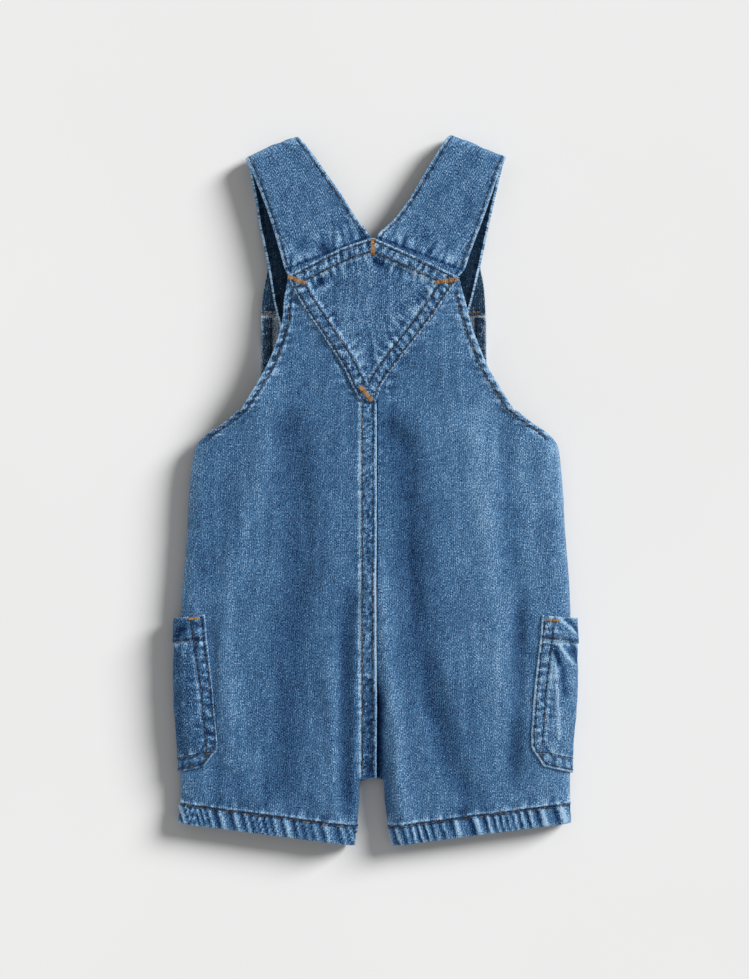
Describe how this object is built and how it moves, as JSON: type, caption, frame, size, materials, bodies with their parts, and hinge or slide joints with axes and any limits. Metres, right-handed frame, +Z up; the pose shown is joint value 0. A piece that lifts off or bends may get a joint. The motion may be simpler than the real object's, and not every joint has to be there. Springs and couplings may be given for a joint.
{
  "type": "denim shortalls",
  "caption": "Baby's denim shortalls laid face down: flat body with two short legs, bib, kite-shaped back yoke, folded shoulder straps, side pockets and tack buttons.",
  "frame": {"origin": "the middle of the patch of floor that the garment covers, on the floor", "axes": "+Y towards the shoulders, +Z up out of the back of the garment, +X to the wearer's right"},
  "size_m": [0.2604, 0.456, 0.0201],
  "materials": {
    "denim_back": "washed mid-blue denim, warp-faced twill",
    "denim_yoke": "washed mid-blue denim, warp-faced twill",
    "denim_strap": "washed mid-blue denim, warp-faced twill",
    "denim_front": "washed mid-blue denim, grey-blue on the inside",
    "denim_facing": "washed mid-blue denim, warp-faced twill",
    "denim_pocket": "washed mid-blue denim, warp-faced twill",
    "button_metal": "aged, dull"
  },
  "bodies": {
    "root": {"back_left": "denim_back", "back_right": "denim_back", "yoke": "denim_yoke", "strap_left": "denim_strap", "strap_right": "denim_strap", "front_left": "denim_front", "front_right": "denim_front", "bib_facing": "denim_facing", "pocket_left": "denim_pocket", "pocket_right": "denim_pocket", "button_left": "button_metal", "button_right": "button_metal"}
  },
  "joints": []
}
